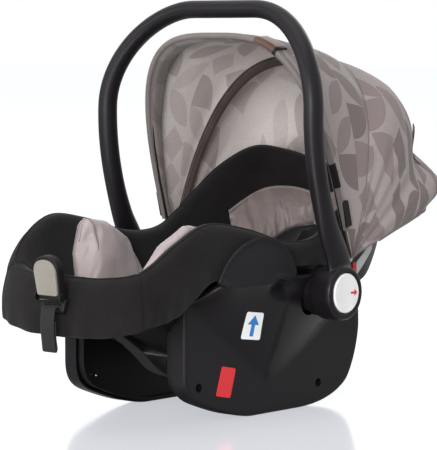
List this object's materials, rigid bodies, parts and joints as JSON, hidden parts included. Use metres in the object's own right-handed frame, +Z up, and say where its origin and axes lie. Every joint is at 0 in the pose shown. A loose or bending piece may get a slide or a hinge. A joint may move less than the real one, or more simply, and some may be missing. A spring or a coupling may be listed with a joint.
{
  "type": "infant car seat",
  "caption": "Rear-facing infant carrier with rocker base, lap belt guides, turning carry handle, folding sun canopy, padded bucket and three-point harness.",
  "frame": {"origin": "on the ground, midway along and across the part", "axes": "+X to the child's left, +Y towards the head end, +Z up"},
  "size_m": [0.4196, 0.7032, 0.5813],
  "materials": {
    "shell_plastic": "satin moulded",
    "panel_plastic": "satin moulded",
    "inner_plastic": "matte moulded",
    "cover_fabric": "knitted",
    "pad_fabric": "satin woven, padded",
    "canopy_fabric": "printed weave",
    "webbing": "woven",
    "grey_plastic": "satin",
    "red_plastic": "gloss",
    "steel": "plated",
    "button_plastic": "satin",
    "leather": "grained"
  },
  "bodies": {
    "seat": {"seat_shell": "shell_plastic", "seat_cover": "cover_fabric", "body_insert": "pad_fabric", "head_pad": "pad_fabric", "side_panel_left": "panel_plastic", "side_panel_right": "panel_plastic", "rocker_wall_left": "inner_plastic", "rocker_wall_right": "inner_plastic", "panel_screw_front_left": "steel", "panel_screw_front_right": "steel", "panel_screw_rear_left": "steel", "panel_screw_rear_right": "steel", "handle_socket_left": "inner_plastic", "handle_socket_right": "inner_plastic", "hub_spring_left": "steel", "hub_spring_right": "steel", "pivot_bolt_left": "steel", "pivot_bolt_right": "steel", "canopy_rear_panel": "canopy_fabric", "canopy_bracket_left": "inner_plastic", "canopy_bracket_right": "inner_plastic", "canopy_pin_left": "steel", "canopy_pin_right": "steel", "canopy_rear_tab": "leather", "buckle": "inner_plastic", "buckle_tongue_left": "steel", "buckle_tongue_right": "steel", "crotch_strap": "webbing", "crotch_anchor": "steel", "shoulder_strap_left": "webbing", "shoulder_strap_right": "webbing", "shoulder_pad_left": "cover_fabric", "shoulder_pad_right": "cover_fabric", "strap_yoke": "steel", "adjuster_pin": "steel", "adjuster_housing": "inner_plastic", "adjuster_strap": "webbing"},
    "handle": {"handle": "shell_plastic"},
    "hub_button_left": {"hub_button_left": "button_plastic"},
    "hub_button_right": {"hub_button_right": "button_plastic"},
    "lock_gear_left": {"lock_gear_left": "steel"},
    "lock_gear_right": {"lock_gear_right": "steel"},
    "canopy_middle": {"canopy_middle_bow": "inner_plastic"},
    "canopy_front": {"canopy_front_bow": "inner_plastic", "canopy_front_panel": "canopy_fabric", "canopy_clip_left": "inner_plastic", "canopy_clip_right": "inner_plastic", "canopy_front_tab": "leather"},
    "adjuster_lever": {"adjuster_lever": "grey_plastic"},
    "buckle_button": {"buckle_button": "red_plastic"}
  },
  "joints": [
    {"name": "handle_turn", "type": "hinge", "parent": "seat", "child": "handle", "pos_m": [0, 0.02615, 0.172], "axis": [1, 0, 0], "range_deg": [-112, 70]},
    {"name": "hub_button_left_press", "type": "slide", "parent": "handle", "child": "hub_button_left", "axis": [-1, 0, 0], "range_m": [0, 0.005], "stiffness_N_per_m": 1200, "springref_m": -0.002},
    {"name": "hub_button_right_press", "type": "slide", "parent": "handle", "child": "hub_button_right", "axis": [1, 0, 0], "range_m": [0, 0.005], "stiffness_N_per_m": 1200, "springref_m": -0.002},
    {"name": "lock_gear_left_slide", "type": "slide", "parent": "seat", "child": "lock_gear_left", "axis": [-1, 0, 0], "range_m": [0, 0.005], "stiffness_N_per_m": 2500, "springref_m": -0.003, "deforming": ["hub_spring_left"]},
    {"name": "lock_gear_right_slide", "type": "slide", "parent": "seat", "child": "lock_gear_right", "axis": [1, 0, 0], "range_m": [0, 0.005], "stiffness_N_per_m": 2500, "springref_m": -0.003, "deforming": ["hub_spring_right"]},
    {"name": "canopy_fold", "type": "hinge", "parent": "seat", "child": "canopy_middle", "pos_m": [0, 0.08315, 0.215], "axis": [-1, 0, 0], "range_deg": [0, 41], "deforming": ["canopy_rear_panel", "canopy_rear_tab"]},
    {"name": "canopy_front_fold", "type": "hinge", "parent": "canopy_middle", "child": "canopy_front", "pos_m": [0, 0.08315, 0.215], "axis": [-1, 0, 0], "range_deg": [0, 29.5], "deforming": ["canopy_front_panel"]},
    {"name": "adjuster_press", "type": "hinge", "parent": "seat", "child": "adjuster_lever", "pos_m": [0, -0.34425, 0.17869], "axis": [-1, 0, 0], "range_deg": [0, 10], "stiffness_Nm_per_rad": 0.3, "springref_deg": -5.73},
    {"name": "buckle_button_press", "type": "slide", "parent": "seat", "child": "buckle_button", "axis": [0, 0.5299, -0.848], "range_m": [0, 0.004], "stiffness_N_per_m": 1200, "springref_m": -0.002}
  ],
  "couplings": [
    {"joint": "lock_gear_left_slide", "follows": "hub_button_left_press", "ratio": 1},
    {"joint": "lock_gear_right_slide", "follows": "hub_button_right_press", "ratio": 1},
    {"joint": "canopy_front_fold", "follows": "canopy_fold", "ratio": 0.719}
  ]
}
